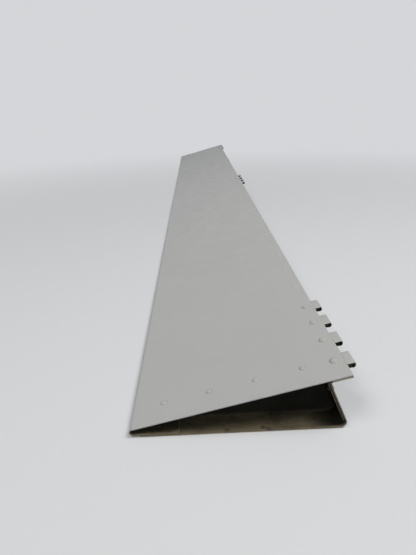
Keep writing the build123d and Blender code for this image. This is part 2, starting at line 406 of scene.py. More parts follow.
def painted(name, colour, everywhere, at_edges, drift=0.5):
    """Satin enamel with a thin film of brown grime over it."""
    material, tree, shader = material_with(name)
    coat = place_group(tree, spray, Color=colour, Drift=drift).outputs
    soil = place_group(tree, grime, Clean=coat["Color"], Dirt=BROWN_DIRT,
                       Everywhere=everywhere, At_edges=at_edges).outputs
    filmed = combine(tree, "MULTIPLY", soil["Film"], FILM_ROUGHNESS)
    rough = combine(tree, "ADD", coat["Roughness"], filmed)
    feed(tree, shader, Base_Color=soil["Color"], Roughness=rough, Specular_IOR_Level=PAINT_GLOSS)
    bump(tree, shader, coat["Height"], PEEL_DEPTH, PEEL_STRENGTH)
    return material


WHITE = (0.50, 0.50, 0.49, 1.0)
DULL_WHITE = (0.40, 0.40, 0.38, 1.0)
SOILED_WHITE = (0.44, 0.43, 0.39, 1.0)
# Lighter than the heads' white: painted light against the shade on the rims, with faint grime.
RIM_WHITE_LIGHTENED = (0.53, 0.525, 0.49, 1.0)
# Brighter than the skin's white: a painted highlight on the painted cut edges.
EDGE_WHITE_WITH_HIGHLIGHT = (0.66, 0.66, 0.64, 1.0)
SLIGHT = 0.16
skin_paint = painted("white_skin_paint", WHITE, 0.02, 0.06, drift=SLIGHT)
rivet_paint = painted("white_rivet_paint", WHITE, 0.05, 0.0, drift=SLIGHT)
rim_paint = painted("soiled_rivet_rim", SOILED_WHITE, 0.2, 0.0, drift=SLIGHT)
hinge_paint = painted("white_hinge_paint", WHITE, 0.06, 0.1, drift=SLIGHT)
front_paint = painted("overspray_on_the_front", DULL_WHITE, 0.35, 0.6)
faint_rim_paint_lightened = painted("faintly_soiled_rim_painted_light", RIM_WHITE_LIGHTENED, 0.16, 0.0)
skin_edge_paint_highlit = painted("painted_sheet_edge_with_highlight", EDGE_WHITE_WITH_HIGHLIGHT, 0.08, 0.2)
print("painted finishes:", skin_paint.name, rivet_paint.name, hinge_paint.name)

# %% [markdown]
# ### Primer and dirt inside
# Nobody repaints the inside of a tab. It keeps its tan primer, which years of dust, oil and damp
# have marked. Three noises blend the marks in: broad stains, thin streaks that run fore and aft,
# and dark spots. The same recipe in other tones makes the cut edges and the greasy knuckle ends.

# %% Primer under stains, streaks and spots
STAIN_SCALE = 48.0
STREAK_SCALE = 260.0
SPOT_SCALE = 150.0
GRAIN_SCALE = 600.0
GRAIN_STRENGTH = 0.7
FORE_AND_AFT = (0.16, 1.0, 1.0)


def blotched(tree, primer, stain, black, amount):
    """Three colours blended by three noises, and the first noise's share for the roughness."""
    stains = remap(tree, noise(tree, STAIN_SCALE, 5.0, 0.62), 0.38, 0.68)
    stained = mix_colour(tree, combine(tree, "MULTIPLY", stains, amount), primer, stain)
    streaks = remap(tree, noise(tree, STREAK_SCALE, 4.0, 0.65, FORE_AND_AFT), 0.44, 0.66)
    dusty = mix_colour(tree, combine(tree, "MULTIPLY", streaks, 0.8 * amount), stained, stain)
    spots = remap(tree, noise(tree, SPOT_SCALE), 0.62, 0.74)
    return mix_colour(tree, combine(tree, "MULTIPLY", spots, 0.7), dusty, black), stains


def grain(tree, shader, depth):
    """A fine dry grain, as brushed primer and cut metal have."""
    bump(tree, shader, noise(tree, GRAIN_SCALE, 4.0, 0.6), depth, GRAIN_STRENGTH)


# %% [markdown]
# Near-black soot and painted shade cover most of the primer inside: the painted shade stands for
# the shadow under the overhanging skin. It thickens with height above the floor and towards the
# front corner, both blurred by a noise. It clears along the open edges, as painted light where
# light reaches in and where hands have wiped the soot off.

# %% Soot and painted shade
# Near-black colour of the soot and painted shade inside the open ends.
SOOT_AND_SHADE = (0.008, 0.0085, 0.007, 1.0)
SOOT_SHADE_COVER = 0.96
SOOT_SHADE_SCALE = 60.0
SOOT_SHADE_STRETCH = (0.5, 1.0, 1.0)
SOOT_SHADE_WANDER = 9 * MM
SOOT_SHADE_RISE = (SHIFT_Z + 3.5 * MM, SHIFT_Z + 10 * MM)
SOOT_SHADE_FRONT = (SHIFT_X + 110 * MM, SHIFT_X + 137 * MM)


def soot_and_shade_share(tree):
    """How thick the soot and painted shade lie, from 0 to their full cover."""
    split = add_node(tree, "ShaderNodeSeparateXYZ", Vector=object_place(tree))
    blur = noise(tree, SOOT_SHADE_SCALE, 4.0, 0.6, SOOT_SHADE_STRETCH)
    wander = combine(tree, "MULTIPLY", blur, SOOT_SHADE_WANDER)
    # Darker higher up and towards the front corner: soot and painted shade of the recess.
    by_height = remap(tree, combine(tree, "ADD", split.outputs["Z"], wander), *SOOT_SHADE_RISE)
    by_corner = remap(tree, combine(tree, "ADD", split.outputs["X"], wander), *SOOT_SHADE_FRONT)
    # Clear near the open edges: painted light where light reaches in, and wiped soot.
    left = remap(tree, attribute(tree, "near_edge"), 0.6, 0.95, SOOT_SHADE_COVER, 0.0)
    return combine(tree, "MULTIPLY", combine(tree, "MAXIMUM", by_height, by_corner), left)


# %% Primed finishes
PRIMER_GLOSS = 0.12


def primed(name, primer, stain, black, amount, depth, specks=0.2, with_soot_and_shade=False):
    """Dull blotched primer with a little loose grime, rougher where it is stained, and darkened by
    soot and painted shade when the flag is set.
    """
    material, tree, shader = material_with(name)
    colour, stains = blotched(tree, primer, stain, black, amount)
    # Near-black soot and painted shade mixed over the primer.
    if with_soot_and_shade:
        colour = mix_colour(tree, soot_and_shade_share(tree), colour, SOOT_AND_SHADE)
    soil = place_group(tree, grime, Clean=colour, Dirt=black, Everywhere=specks, At_edges=0.0)
    feed(tree, shader, Base_Color=soil.outputs["Color"], Specular_IOR_Level=PRIMER_GLOSS,
         Roughness=remap(tree, stains, 0.0, 1.0, 0.72, 0.9))
    grain(tree, shader, depth)
    return material


TAN = (0.20, 0.168, 0.108, 1.0)
PALE_TAN = (0.34, 0.29, 0.19, 1.0)
CREAM = (0.6, 0.57, 0.45, 1.0)
OLIVE = (0.12, 0.10, 0.06, 1.0)
DARK_OLIVE = (0.055, 0.05, 0.035, 1.0)
# Near-black dirt; on the spar's end edge and the knuckle ends it also stands for painted shade.
BLACK_DIRT_AND_SHADE = (0.018, 0.016, 0.012, 1.0)
# The inside primer also carries the soot and painted shade.
inside_primer_shaded = primed("tan_primer_inside_with_painted_shade", TAN, OLIVE, BLACK_DIRT_AND_SHADE, 0.8, 0.15 * MM, with_soot_and_shade=True)
cut_edge = primed("cut_sheet_edge", PALE_TAN, TAN, OLIVE, 0.5, 0.1 * MM, 0.1)
flange_edge = primed("oversprayed_flange_edge", CREAM, PALE_TAN, TAN, 0.5, 0.1 * MM, 0.1)
# Dark knuckle ends and bores: grease and painted shade.
knuckle_end_grease_and_shade = primed("knuckle_end_grease_and_painted_shade", DARK_OLIVE, BLACK_DIRT_AND_SHADE, BLACK_DIRT_AND_SHADE, 0.9, 0.05 * MM)
print("primed finishes:", inside_primer_shaded.name, cut_edge.name, knuckle_end_grease_and_shade.name)

# %% [markdown]
# Two finishes stand by themselves. The spar's end edge is pale on its aft rim, and near black
# where it meets the skin, painted shade under the skin's overhang: the attribute `across` runs
# from 0 on the sheet's path side to 1 on the other. Most rivet tails are bare metal, dull, or near
# black with soot and painted shade inside.

# %% Spar edge
SPAR_EDGE_ROUGHNESS = 0.85
SPAR_EDGE_GLOSS = 0.2


def spar_edge_with_shade():
    """Blotched primer that turns near black across the sheet's thickness, as painted shade where
    it meets the skin.
    """
    material, tree, shader = material_with("dirty_spar_edge")
    colour, _ = blotched(tree, TAN, OLIVE, BLACK_DIRT_AND_SHADE, 0.6)
    # Painted shade: near black on the side that meets the skin.
    painted_shade_across = remap(tree, attribute(tree, "across"), 0.25, 0.55)
    feed(tree, shader, Base_Color=mix_colour(tree, painted_shade_across, colour, BLACK_DIRT_AND_SHADE),
         Roughness=SPAR_EDGE_ROUGHNESS, Specular_IOR_Level=SPAR_EDGE_GLOSS)
    grain(tree, shader, 0.1 * MM)
    return material


spar_edge = spar_edge_with_shade()
print("edge finish:", spar_edge.name)

# %% Rivet tails
METAL_SCALE = 500.0
WEATHERED = (0.16, 0.15, 0.12, 1.0)
# Near black: soot and painted shade on the rivet tails inside the open ends.
SOOTY_METAL_AND_SHADE = (0.02, 0.02, 0.017, 1.0)
METALLIC = 0.4


def dull_metal(name, colour, dirt):
    """Weathered aluminium: part metallic, with roughness that follows a fine noise."""
    material, tree, shader = material_with(name)
    soil = place_group(tree, grime, Clean=colour, Dirt=dirt, Everywhere=0.7, At_edges=0.0)
    rough = remap(tree, noise(tree, METAL_SCALE), 0.3, 0.7, 0.5, 0.75)
    feed(tree, shader, Base_Color=soil.outputs["Color"], Roughness=rough, Metallic=METALLIC)
    return material


tail_metal = dull_metal("weathered_rivet_tail", WEATHERED, OLIVE)
# Tails inside the pocket: soot and painted shade.
tail_soot_and_shade = dull_metal("rivet_tail_soot_and_painted_shade", SOOTY_METAL_AND_SHADE, BLACK_DIRT_AND_SHADE)
print("tail finishes:", tail_metal.name, tail_soot_and_shade.name)

# %% [markdown]
# ## Folded sheets
# Both skins and the spar are flat aluminium folded on a brake. In Blender one could Solidify and
# Bevel a bent strip, but the bends, the cut edges and the two finishes (paint outside, primer
# inside) are easier to control if the section is drawn first and then carried along the span.
# The path is the sheet's own line; its corners become arcs; the second side is the path moved
# along its normals by the sheet's thickness, so every bend stays concentric.

# %% Rounded path
def rounded_path(points, radius, steps=8):
    """A polyline whose inner corners are arcs of one radius.

    With u and v the unit directions from a corner to its neighbours and a the angle between
    them, the arc touches both runs at radius / tan(a / 2), and its centre lies on u + v at
    radius / sin(a / 2). Points between come from turning evenly about that centre.
    """
    rows = [points[0][None]]
    for before, corner, after in zip(points[:-2], points[1:-1], points[2:]):
        u = (before - corner) / np.linalg.norm(before - corner)
        v = (after - corner) / np.linalg.norm(after - corner)
        half = math.acos(float(np.dot(u, v))) / 2
        centre = corner + (u + v) / np.linalg.norm(u + v) * radius / math.sin(half)
        start = corner + u * radius / math.tan(half) - centre
        end = corner + v * radius / math.tan(half) - centre
        sweep = math.pi - 2 * half
        share = np.linspace(0.0, 1.0, steps + 1)[:, None]
        arc = np.sin((1 - share) * sweep) * start + np.sin(share * sweep) * end
        rows.append(centre + arc / math.sin(sweep))
    rows.append(points[-1][None])
    return np.concatenate(rows)


def along_path(path):
    """Distance of each point from the path's start."""
    return np.concatenate([[0.0], np.cumsum(np.linalg.norm(np.diff(path, axis=0), axis=1))])


def refined(path, step):
    """The path with extra points on its runs, no further apart than the step."""
    s = along_path(path)
    extra = np.arange(step, s[-1], step)
    near = np.abs(extra[:, None] - s[None]).min(axis=1) < step / 3
    t = np.sort(np.concatenate([s, extra[~near]]))
    return np.column_stack([np.interp(t, s, path[:, i]) for i in range(2)])


def left_normals(path):
    """Unit normals to the left of the path, and its tangents: the neighbouring runs' mean."""
    runs = np.diff(path, axis=0)
    runs /= np.linalg.norm(runs, axis=1)[:, None]
    tangents = np.concatenate([runs[:1], runs[:-1] + runs[1:], runs[-1:]])
    tangents /= np.linalg.norm(tangents, axis=1)[:, None]
    return np.column_stack([-tangents[:, 1], tangents[:, 0]]), tangents


# %% [markdown]
# ### Carrying the section along the span
# The loop round the sheet's section has the path side, the cut edge at the path's end, the other
# side and the cut edge at the path's start. Each corner is broken by a tenth of a millimetre, as a
# deburred edge is. Stations along the span repeat the loop, and a dent function may push both
# sides of the sheet along its normal.

# %% Section and stations
DEBURR = 0.12 * MM


def section_loop(path, thickness, inset):
    """The closed loop round a sheet's section, drawn in by an inset.

    It returns the loop, the path number of each loop point, and the path's normals.
    """
    normals, tangents = left_normals(path)
    n = len(path)
    pull = np.zeros((n, 1))
    pull[0] = DEBURR + inset
    pull[-1] = -DEBURR - inset
    shifted = path + pull * tangents
    near_side = shifted + inset * normals
    far_side = shifted + (thickness - inset) * normals
    last = np.full((2, 1), -inset) * tangents[-1:]
    first = np.full((2, 1), inset) * tangents[:1]
    depths = np.array([[DEBURR + inset], [thickness - DEBURR - inset]])
    end_edge = path[-1:] + last + depths * normals[-1:]
    start_edge = path[:1] + first + depths[::-1] * normals[:1]
    loop = np.concatenate([near_side, end_edge, far_side[::-1], start_edge])
    numbers = np.concatenate([np.arange(n), [n - 1] * 2, np.arange(n)[::-1], [0] * 2])
    return loop, numbers, normals


def stations(low, high, step):
    """Places along the span: both ends, a deburred step inside each, and even steps between."""
    inner = np.linspace(low + DEBURR, high - DEBURR, max(2, round((high - low) / step) + 1))
    return np.concatenate([[low], inner, [high]])


# %% Folded sheet
EDGE_FADE = 7 * MM
PATH_SIDE, OTHER_SIDE, START_EDGE, END_EDGE = range(4)


def folded_sheet(name, path, thickness, low, high, sides, step, dent=None, change_at=0.0):
    """A sheet of even thickness whose section is carried along the span.

    Vertex (i, k) is the section loop's point i at station k, moved along the sheet's normal by
    dent(distance along the path, span). sides holds four materials: the path side's, the other
    side's, and those of the cut edges before and after the distance change_at along the path.
    """
    y = stations(low, high, step)
    full, numbers, normals = section_loop(path, thickness, 0.0)
    drawn_in, _, _ = section_loop(path, thickness, DEBURR)
    section = np.repeat(full[:, None], len(y), axis=1)
    section[:, 0] = drawn_in
    section[:, -1] = drawn_in
    distance = along_path(path)
    if dent is not None:
        push = dent(distance[:, None], y[None])
        section = section + push[numbers][..., None] * normals[numbers][:, None]
    spans = np.broadcast_to(y, section.shape[:2])
    vertices = np.stack([section[..., 0], spans, section[..., 1]], axis=-1).reshape(-1, 3)
    rows, columns = section.shape[:2]
    body = grid_quads(rows, columns, wrap_rows=True)
    n = len(path)
    near = np.arange(n - 1)
    opposite = 2 * n + 1 - near
    cap_rows = np.column_stack([near, near + 1, opposite - 1, opposite])
    edge_caps = np.array([[rows - 1, 0, 2 * n + 1, rows - 2], [n - 1, n, n + 1, n + 2]])
    cap = np.concatenate([cap_rows, edge_caps])
    quads = np.concatenate([body, (cap * columns)[:, ::-1], cap * columns + columns - 1])
    of_row = np.full(rows, END_EDGE)
    of_row[: n - 1] = PATH_SIDE
    of_row[n + 2: 2 * n + 1] = OTHER_SIDE
    of_row[2 * n + 1:] = START_EDGE
    of_cap = np.where(distance[:-1] < change_at, START_EDGE, END_EDGE)
    of_cap = np.append(of_cap, [START_EDGE, END_EDGE])
    finish = np.concatenate([np.repeat(of_row, columns - 1), of_cap, of_cap])
    piece = mesh_piece(name, vertices, quads, sides, finish)
    from_ends = np.minimum(spans - low, high - spans)
    from_edges = np.minimum(distance, distance[-1] - distance)[numbers][:, None]
    nearest = np.minimum(from_ends, from_edges)
    share = np.clip(1 - nearest / EDGE_FADE, 0, 1) ** 2
    across = np.zeros(share.shape)
    across[n + 1: 2 * n + 3] = 1.0
    for label, value in (("near_edge", share), ("across", across)):
        layer = piece.data.attributes.new(label, "FLOAT", "POINT")
        layer.data.foreach_set("value", value.astype(np.float32).ravel())
    return piece


# %% [markdown]
# ### The upper skin
# One sheet covers the top, turns round the trailing edge in a tight nose and comes back a little
# way inside the lower skin. Thin sheet is never dead flat: it waves by a few hundredths of a
# millimetre between its rows of rivets and is drawn down as little round each head. Those dents
# make a riveted skin shimmer, so they are real geometry, a sum of slow sines and small wells.

# %% Rivet places, read from the CAD rivets
PROUD = 0.1 * MM
BETWEEN_HEADS = 2 * MM


def rivet_places(node, face, along_span):
    """Centres of a node's heads on a face, as rows of (span, distance along the face).

    Head vertices stand proud of the face. Sorted along the row, they part into one bunch per
    rivet wherever the next vertex is well on, and a bunch's mid-range is its centre.
    """
    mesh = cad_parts[node].data
    co = np.zeros(len(mesh.vertices) * 3, np.float32)
    mesh.vertices.foreach_get("co", co)
    local = co.reshape(-1, 3).astype(float) - face["origin"]
    span, along, height = local[:, 1], local @ face["run"], local @ face["out"]
    head = height > PROUD
    row = (span if along_span else along)[head]
    order = np.argsort(row)
    cuts = np.flatnonzero(np.diff(row[order]) > BETWEEN_HEADS) + 1
    spans = np.split(span[head][order], cuts)
    alongs = np.split(along[head][order], cuts)
    middles = [((s.min() + s.max()) / 2, (a.min() + a.max()) / 2) for s, a in zip(spans, alongs)]
    return np.array(middles)


HINGE_ROWS = ["near_hinge_rivets", "middle_hinge_rivets", "far_hinge_rivets"]
EDGE_ROWS = ["front_edge_rivets_near_bay", "front_edge_rivets_far_bay"]
RIB_TOPS = ["near_rib_top_rivets", "far_rib_top_rivets"]
RIB_BOTTOMS = ["near_rib_bottom_rivets", "far_rib_bottom_rivets"]
RIB_FRONTS = ["near_rib_front_rivets", "far_rib_front_rivets"]
SEAM_ROW, LAP_ROW = "front_seam_rivets", "trailing_lap_rivets"
ROWS = [
    (HINGE_ROWS + EDGE_ROWS, TOP_FACE, True), (RIB_TOPS, TOP_FACE, False),
    (RIB_BOTTOMS, UNDER_FACE, False), (RIB_FRONTS, FRONT_FACE, False),
    ([SEAM_ROW], FRONT_FACE, True), ([LAP_ROW], UNDER_FACE, True),
]
places = {node: rivet_places(node, face, along_span)
          for nodes, face, along_span in ROWS for node in nodes}
print({node: len(found) for node, found in places.items()})

# %% Dents of the two big sheets
WAVE_DEPTH = 0.035 * MM
WELL_DEPTH = 0.06 * MM
WELL_RADIUS = 5.5 * MM
TOP_RUN = CHORD / math.cos(WEDGE)
TOP_FREE = (12 * MM, TOP_RUN - 4 * MM)
FLOOR_FREE = (30 * MM, FOOT - LAP_START - 12 * MM)
FLOOR_SHIFT = 1.0
FULL_TURN = 6.28
waves = np.random.default_rng(7)
WAVE_PARTS = [
    (waves.uniform(0.09, 0.3), waves.uniform(0.05, 0.12), waves.uniform(0, FULL_TURN),
     waves.uniform(0, FULL_TURN)) for _ in range(7)
]


def sheet_waves(s, y):
    """Slow waves: twice the mean of seven products of a sine along y and one along the path."""
    total = sum(
        np.sin(2 * math.pi * y / span_wave + a) * np.sin(2 * math.pi * s / path_wave + b)
        for span_wave, path_wave, a, b in WAVE_PARTS
    )
    return total / len(WAVE_PARTS) * 2


def wells(s, y, nodes, path_start=0.0):
    """Small wells round rivets: exp(-(distance / radius) squared), added up over the rivets."""
    depth = 0.0
    for span, along in np.concatenate([places[node] for node in nodes]):
        away = (s + path_start - along) ** 2 + (y - SPAN_LOW - span) ** 2
        depth = depth + np.exp(-away / WELL_RADIUS**2)
    return depth


def calm(s, y, low, high, fade=14 * MM):
    """A window that is 0 at a sheet's fastened borders and 1 away from them."""
    from_path = np.clip(np.minimum(s - low, high - s) / fade, 0, 1)
    from_ends = np.clip(np.minimum(y - SPAN_LOW, SPAN_HIGH - y) / (2 * fade), 0, 1)
    both = from_path * from_ends
    return both * both * (3 - 2 * both)


def upper_dent(s, y):
    """The top run waves and is drawn down at its rivets; nose and return stay true."""
    hollows = wells(s, y, HINGE_ROWS + EDGE_ROWS + RIB_TOPS)
    return WAVE_DEPTH * sheet_waves(s, y) * calm(s, y, *TOP_FREE) + WELL_DEPTH * hollows


def lower_dent(s, y):
    """The floor waves too, between the lap and the front bend, by another part of the sines."""
    hollows = wells(s, y, [LAP_ROW] + RIB_BOTTOMS, LAP_START)
    ripple = sheet_waves(s + FLOOR_SHIFT, y + FLOOR_SHIFT) * calm(s, y, *FLOOR_FREE)
    return WAVE_DEPTH * ripple + WELL_DEPTH * hollows


# %% Upper skin
UPPER_STEP = 4 * MM
UNPAINTED_NOSE = 6 * MM
upper_corners = [drawn(CHORD, LEADING_HEIGHT), drawn(APEX, SHEET), drawn(LAP_END, SHEET)]
upper_path = refined(rounded_path(upper_corners, NOSE_RADIUS, steps=14), UPPER_STEP)
upper_sheet = folded_sheet(
    "upper_skin_sheet", upper_path, SHEET, SPAN_LOW, SPAN_HIGH,
    [skin_paint, inside_primer_shaded, skin_edge_paint_highlit, cut_edge], UPPER_STEP, upper_dent,
    change_at=TOP_RUN - UNPAINTED_NOSE,
)
carry(upper_sheet, "upper_skin")

# %% [markdown]
# ### The lower skin and the spar
# The lower skin is folded up at the front, and the spar is a thicker L-shaped fold that closes
# the front behind it and turns forward to carry the hinge. The spar's face that looks forward got
# the outside paint as overspray, and so did its flange's end edge, while its back kept its primer.

# %% Lower skin and spar
LOWER_STEP = 5 * MM
lower_corners = [drawn(LAP_START, 0.0), drawn(FOOT, 0.0), on_face(FRONT_FACE, FLANGE_TOP, 0.0)]
lower_path = refined(rounded_path(lower_corners, FLOOR_BEND), LOWER_STEP)
lower_sheet = folded_sheet(
    "lower_skin_sheet", lower_path, SHEET, SPAN_LOW, SPAN_HIGH,
    [skin_paint, inside_primer_shaded, cut_edge, cut_edge], LOWER_STEP, lower_dent,
)
carry(lower_sheet, "lower_skin")

SPAR_FOOT_GAP = 0.6 * MM
SPAR_STEP = 6 * MM
SPAR_STATIONS = 40 * MM
OVERSPRAY = 10 * MM
spar_foot = FLOOR_BEND * math.tan((math.radians(90) + LEAN) / 2) + SPAR_FOOT_GAP
spar_corners = [on_face(TOP_FACE, 0.0, SHEET), meeting(SHEET, WEB_DEPTH),
                on_face(FRONT_FACE, spar_foot, WEB_DEPTH)]
spar_path = refined(rounded_path(spar_corners, SPAR_BEND), SPAR_STEP)
spar_sheet = folded_sheet(
    "spar_sheet", spar_path, SPAR_SHEET, SPAN_LOW, SPAN_HIGH,
    [inside_primer_shaded, front_paint, flange_edge, spar_edge], SPAR_STATIONS, change_at=OVERSPRAY,
)
carry(spar_sheet, "spar")

# %% [markdown]
# ## Rivets
# Every rivet is a body of revolution: a low dome, a rim, a shank and the tail that was formed
# when it was set. The white paint bridges the rim and the skin in a tiny fillet. A spin of a
# profile could make one, and copies of it the rest, but a row is quicker as one array: a profile
# of (radius, height) is turned about the axis, then placed on every centre of the row at once.

# %% Rivet profiles
CROWN_POWER = 3.2
CROWN_SHARE = 0.985
RIM_RISE = 0.14
SUNK = 0.14 * MM
PIT_DEPTH = 0.5 * MM
HAIR = 0.02 * MM


def dome(radius, height, points=7):
    """A head's outline from its crown to the skin, with a paint fillet beyond its thin rim.

    Above the rim's rise, the crown falls off as 1 - (r / radius) ** CROWN_POWER.
    """
    r = CROWN_SHARE * radius * np.sin(np.linspace(0, math.pi / 2, points))
    z = height * (RIM_RISE + (1 - RIM_RISE) * (1 - (r / radius) ** CROWN_POWER))
    rim = [(radius, 0.1 * height), (radius + 0.05 * MM, 0.05 * height)]
    fillet = [(radius + 0.22 * MM, 0.01 * MM), (radius + 0.3 * MM, -SUNK)]
    return np.concatenate([np.column_stack([r, z]), rim, fillet])


def pulled(profile, stem):
    """The same head with the pit that a pulled stem leaves in its crown."""
    pit = np.array([(0.0, -0.35), (0.75, -0.35), (0.95, 0.0)]) * [stem, PIT_DEPTH]
    pit[:, 1] += profile[0, 1] - HAIR
    return np.concatenate([pit, profile[profile[:, 0] > 1.05 * stem]])


def shank_and_tail(grip, shank, tail, tail_height):
    """The part under the head: the shank, then a barrel-shaped tail that closes on the axis."""
    barrel = np.array([(1.0, 0.45), (0.88, 0.88), (0.6, 1.0), (0.0, 1.0)]) * [tail, -tail_height]
    shaft = np.array([(shank, -SUNK), (shank, -grip), (0.9 * tail, -grip - HAIR)])
    return np.concatenate([shaft, barrel - [0.0, grip]])


# %% Driven and pulled rivets
SMALL = {"shank": 1.2 * MM, "head": 2.3 * MM, "height": 0.65 * MM,
         "tail": 1.8 * MM, "tail_height": 0.9 * MM}
LARGE = {"shank": 1.6 * MM, "head": 3.1 * MM, "height": 1.0 * MM,
         "tail": 2.4 * MM, "tail_height": 1.3 * MM}
BLIND_TAIL = 1.55 * MM
BLIND_TAIL_HEIGHT = 1.3 * MM
STEM = 0.75 * MM


def solid_rivet(grip, shank, head, height, tail, tail_height):
    """Profile of a driven rivet."""
    return np.concatenate([dome(head, height), shank_and_tail(grip, shank, tail, tail_height)])


def blind_rivet(grip):
    """Profile of a pulled rivet, as used where no bar can reach the inside."""
    head = pulled(dome(SMALL["head"], SMALL["height"]), STEM)
    tail = shank_and_tail(grip, SMALL["shank"], BLIND_TAIL, BLIND_TAIL_HEIGHT)
    return np.concatenate([head, tail])


print("points round a small driven rivet:", len(solid_rivet(WEB_DEPTH, **SMALL)))

# %% Turning and placing
TURNS = 28
LEAN_SPREAD = 0.008
RIM_SHARE = 0.55
BURIED = 0.1 * MM
RIVET_SHARP = 40


def riveted(node, kind, face, profile, tail_finish, rim_finish=rim_paint):
    """All rivets of one node: vertex (rivet, profile point, turn) in one array.

    A profile point (r, z) goes to centre + z * out + r * (cos t * span + sin t * run), and each
    head leans by about half a degree, because a hand-set head never sits quite true. What is
    below RIM_SHARE of the crown takes the rim's finish, and what is buried the tail's.
    """
    found = places[node]
    lean = np.random.default_rng(len(node)).normal(0, LEAN_SPREAD, (len(found), 2))
    span = np.array([0.0, 1.0, 0.0])
    t = np.linspace(0, 2 * math.pi, TURNS, endpoint=False)
    ring = np.cos(t)[:, None] * span + np.sin(t)[:, None] * face["run"]
    centres = face["origin"] + found[:, :1] * span + found[:, 1:] * face["run"]
    around = profile[:, 0][:, None, None] * ring[None]
    tilt = np.einsum("kj,ptj->kpt", lean @ np.array([span, face["run"]]), around)
    height = profile[:, 1][None, :, None]
    rise = height + np.where(height > 0, tilt, 0)
    points = centres[:, None, None] + around[None] + rise[..., None] * face["out"]
    one = grid_quads(len(profile), TURNS, wrap_columns=True)
    quads = one[None] + (np.arange(len(found)) * len(profile) * TURNS)[:, None, None]
    rim = profile[1:, 1] < RIM_SHARE * profile[:, 1].max()
    finish = np.where(profile[:-1, 1] < -BURIED, 2, rim.astype(int))
    finish = np.tile(np.repeat(finish, TURNS), len(found))
    piece = mesh_piece(f"{node}_{kind}", points.reshape(-1, 3), quads.reshape(-1, 4),
                       [rivet_paint, rim_finish, tail_finish], finish, RIVET_SHARP)
    carry(piece, node)


for node in HINGE_ROWS:
    riveted(node, "domed", TOP_FACE, solid_rivet(WEB_DEPTH + LEAF, **LARGE), tail_metal)
for node in EDGE_ROWS:
    riveted(node, "domed", TOP_FACE, solid_rivet(WEB_DEPTH, **SMALL), tail_metal, faint_rim_paint_lightened)
for node in RIB_TOPS:
    riveted(node, "domed", TOP_FACE, solid_rivet(SHEET + RIB_SHEET, **SMALL), tail_soot_and_shade)
for node in RIB_BOTTOMS:
    riveted(node, "pulled", UNDER_FACE, blind_rivet(SHEET + RIB_SHEET), tail_soot_and_shade)
for node in RIB_FRONTS:
    riveted(node, "pulled", FRONT_FACE, blind_rivet(WEB_DEPTH + RIB_SHEET), tail_soot_and_shade)
riveted(SEAM_ROW, "pulled", FRONT_FACE, blind_rivet(WEB_DEPTH), tail_soot_and_shade)
riveted(LAP_ROW, "pulled", UNDER_FACE, blind_rivet(2 * SHEET), inside_primer_shaded)

# %% [markdown]
# ## Hinge segments
# The hinge is an extrusion: a thin leaf with a thick front rib bored for the pin, milled away at
# every second step so that four knuckles are left. On this tab the knuckles stand level with the
# skin, so the paint runs over them without a line: seen along the pin, a knuckle is flat on top,
# has a small round at its outer corner and is round underneath, about the pin. Its outline is
# written as points (ahead of the skin's edge, below its top), then turned into angles and
# distances from the pin's axis, so that the bore's ring and the outline's ring pair up. The ends
# of the knuckles and their bores are dark with grease and painted shade, apart from the far
# segment's, which stay clean.

# %% A knuckle
KNUCKLE_RADIUS = 1.85 * MM
KNUCKLE_REACH = 5.3 * MM
KNUCKLE_ROUND = 0.8 * MM
BORE = 0.85 * MM
AXIS_AHEAD = KNUCKLE_REACH - KNUCKLE_RADIUS
LEAF_WIDTH = 11.0 * MM
KNUCKLE = 13.4 * MM
HINGE_PITCH = 25.4 * MM
SEAM = 0.02 * MM
BREAK = 0.15 * MM
ROOT_AHEAD = 1.2 * MM
ROOT_BEHIND = -0.3 * MM


def knuckle_outline():
    """Angles (aft 0, down a quarter turn) and distances from the pin axis, round a knuckle."""
    leaf_low = WEB_DEPTH + LEAF - SEAM
    meets_leaf = math.pi - math.asin((leaf_low - KNUCKLE_RADIUS) / KNUCKLE_RADIUS)
    under = np.linspace(0, meets_leaf, 15)
    corner = np.linspace(0, math.pi / 2, 7)
    straight = KNUCKLE_REACH - KNUCKLE_ROUND
    points = np.concatenate([
        np.column_stack([np.linspace(SEAM, straight, 6)[:-1], np.zeros(5)]),
        np.column_stack([straight + KNUCKLE_ROUND * np.sin(corner),
                         KNUCKLE_ROUND * (1 - np.cos(corner))]),
        np.column_stack([AXIS_AHEAD + KNUCKLE_RADIUS * np.cos(under),
                         KNUCKLE_RADIUS * (1 + np.sin(under))]),
        [(ROOT_AHEAD, leaf_low), (ROOT_BEHIND, leaf_low),
         (ROOT_BEHIND, WEB_DEPTH + 2 * SEAM), (SEAM, WEB_DEPTH)],
    ])
    aft = AXIS_AHEAD - points[:, 0]
    down = points[:, 1] - KNUCKLE_RADIUS
    return np.arctan2(down, aft), np.hypot(aft, down)


def knuckle_grid(start):
    """One knuckle: its rings run out of the bore, over the outside and into the bore again."""
    angles, outside = knuckle_outline()
    end = start + KNUCKLE
    mouth = np.full_like(outside, BORE)
    rings = [
        (start + BREAK, mouth), (start, mouth + BREAK), (start, outside - BREAK),
        (start + BREAK, outside), (end - BREAK, outside), (end, outside - BREAK),
        (end, mouth + BREAK), (end - BREAK, mouth),
    ]
    run, out = TOP_FACE["run"], TOP_FACE["out"]
    axis = TOP_FACE["origin"] - AXIS_AHEAD * run - KNUCKLE_RADIUS * out
    spin = np.cos(angles)[:, None] * run - np.sin(angles)[:, None] * out
    points = [axis * [1, 0, 1] + [0, y, 0] + r[:, None] * spin for y, r in rings]
    quads = grid_quads(len(rings), len(angles), wrap_rows=True, wrap_columns=True)
    # End faces and the bore take the dark end finish: grease and painted shade.
    dirty = np.repeat([1, 1, 0, 0, 0, 1, 1, 1], len(angles))
    return np.concatenate(points), quads, dirty


